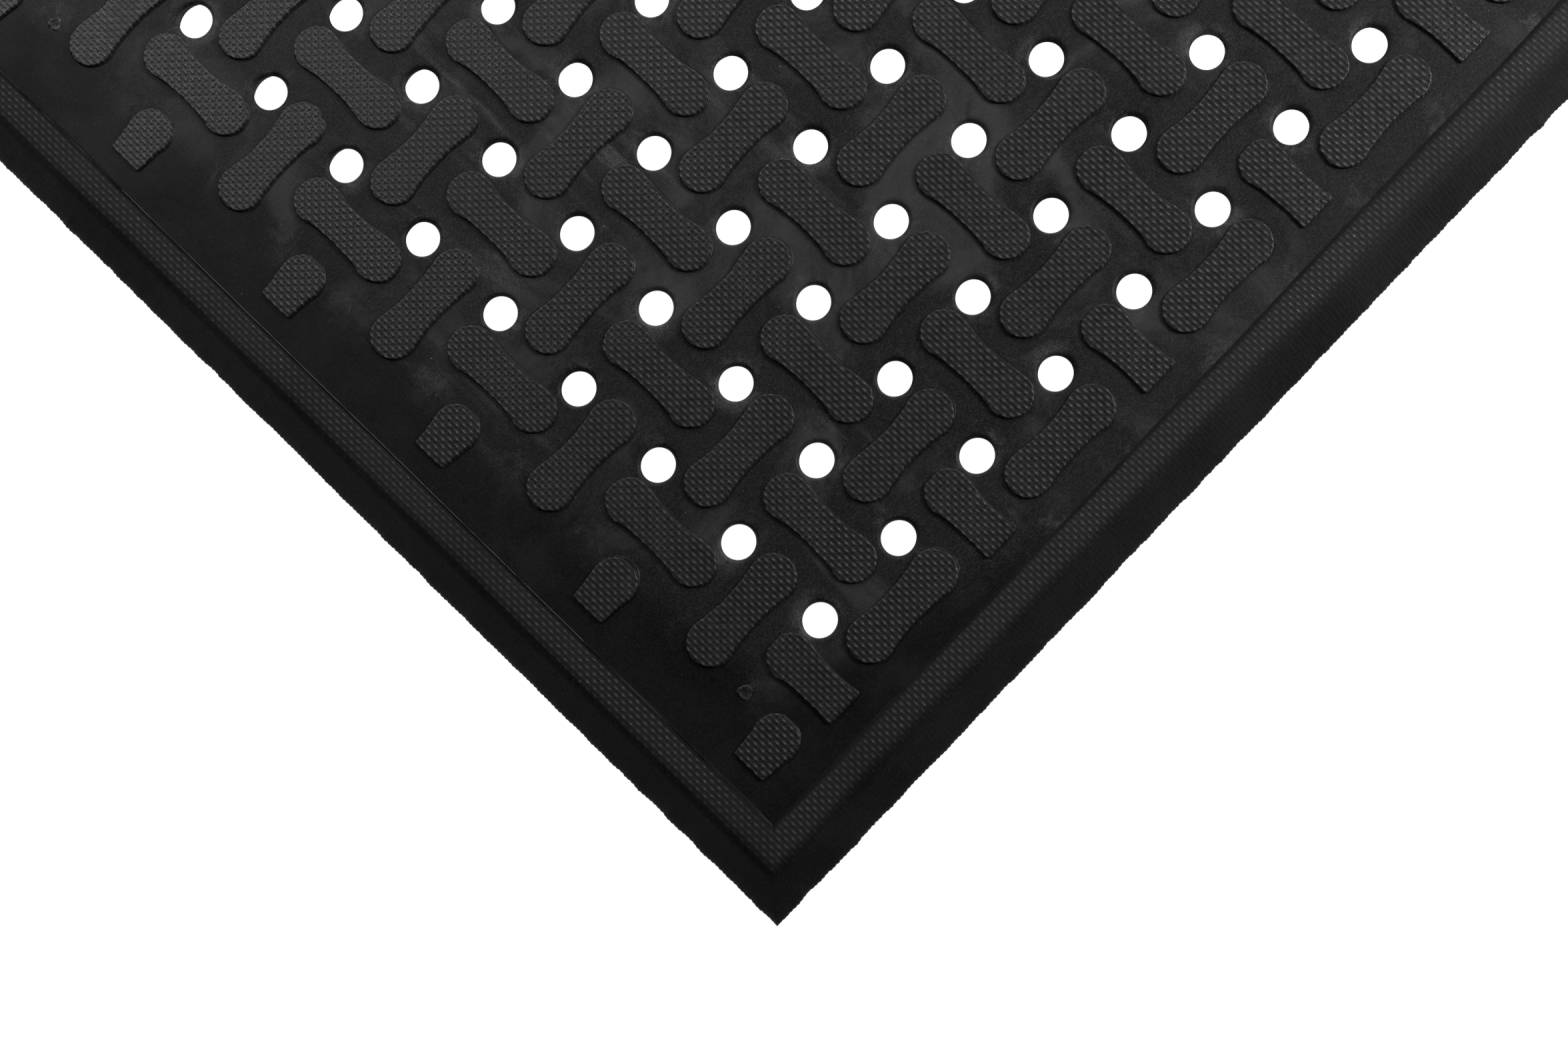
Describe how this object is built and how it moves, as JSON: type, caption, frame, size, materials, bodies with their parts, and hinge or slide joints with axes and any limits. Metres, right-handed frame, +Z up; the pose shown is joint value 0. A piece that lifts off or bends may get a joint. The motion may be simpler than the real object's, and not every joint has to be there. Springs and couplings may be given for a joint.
{
  "type": "anti fatigue mat",
  "caption": "Flat black rubber floor mat with ramped edges, raised dog-bone treads in a basket weave and round drain holes on a square grid.",
  "frame": {"origin": "on the floor under the middle of the mat", "axes": "+X along the mat's long side, +Y across it towards the back edge, +Z up out of the tread"},
  "size_m": [0.85, 0.6, 0.0095],
  "materials": {
    "tread_rubber": "moulded black rubber with a fine woven press mark",
    "foam_rubber": "matt black closed-cell foam",
    "border_rubber": "matt black solid rubber, finely ribbed on the ramp"
  },
  "bodies": {
    "root": {"tread_cap": "tread_rubber", "cushion_core": "foam_rubber", "border_front": "border_rubber", "border_right": "border_rubber", "border_back": "border_rubber", "border_left": "border_rubber"}
  },
  "joints": []
}
